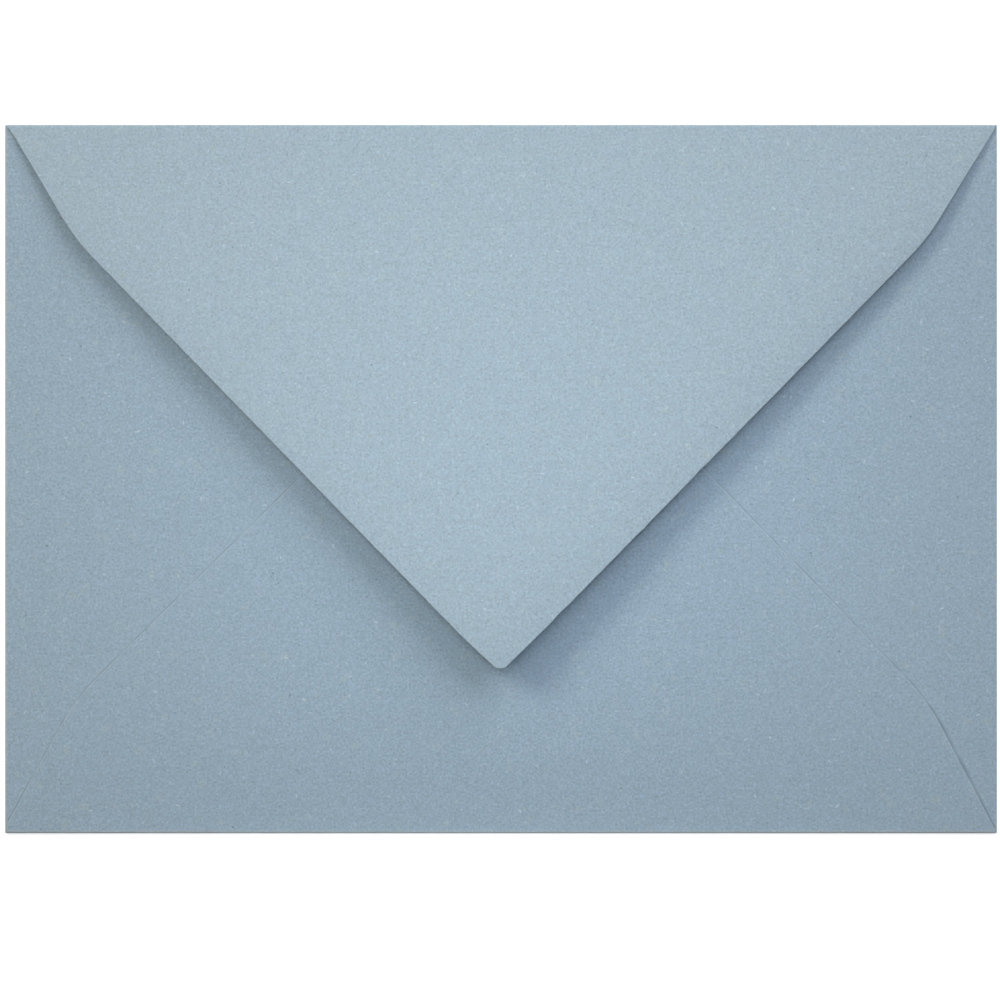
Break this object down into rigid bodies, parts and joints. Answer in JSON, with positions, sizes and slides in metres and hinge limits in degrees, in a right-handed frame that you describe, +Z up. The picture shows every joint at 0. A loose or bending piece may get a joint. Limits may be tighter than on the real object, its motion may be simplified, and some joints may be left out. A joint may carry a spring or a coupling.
{
  "type": "paper envelope",
  "caption": "Letter envelope folded from a sheet of recycled paper, with glued side and bottom flaps and an unsealed, slightly raised pointed seal flap; holds letters and cards.",
  "frame": {"origin": "centre of the front panel's underside, on the surface that the envelope lies on", "axes": "+X along the envelope's width, +Y towards the fold of the seal flap, +Z up, out of the flap side"},
  "size_m": [0.175, 0.125, 0.0104],
  "materials": {
    "recycled_paper": "uncoated blue-grey recycled paper, matt, with fine fibres"
  },
  "bodies": {
    "root": {"envelope_sheet": "recycled_paper"}
  },
  "joints": []
}
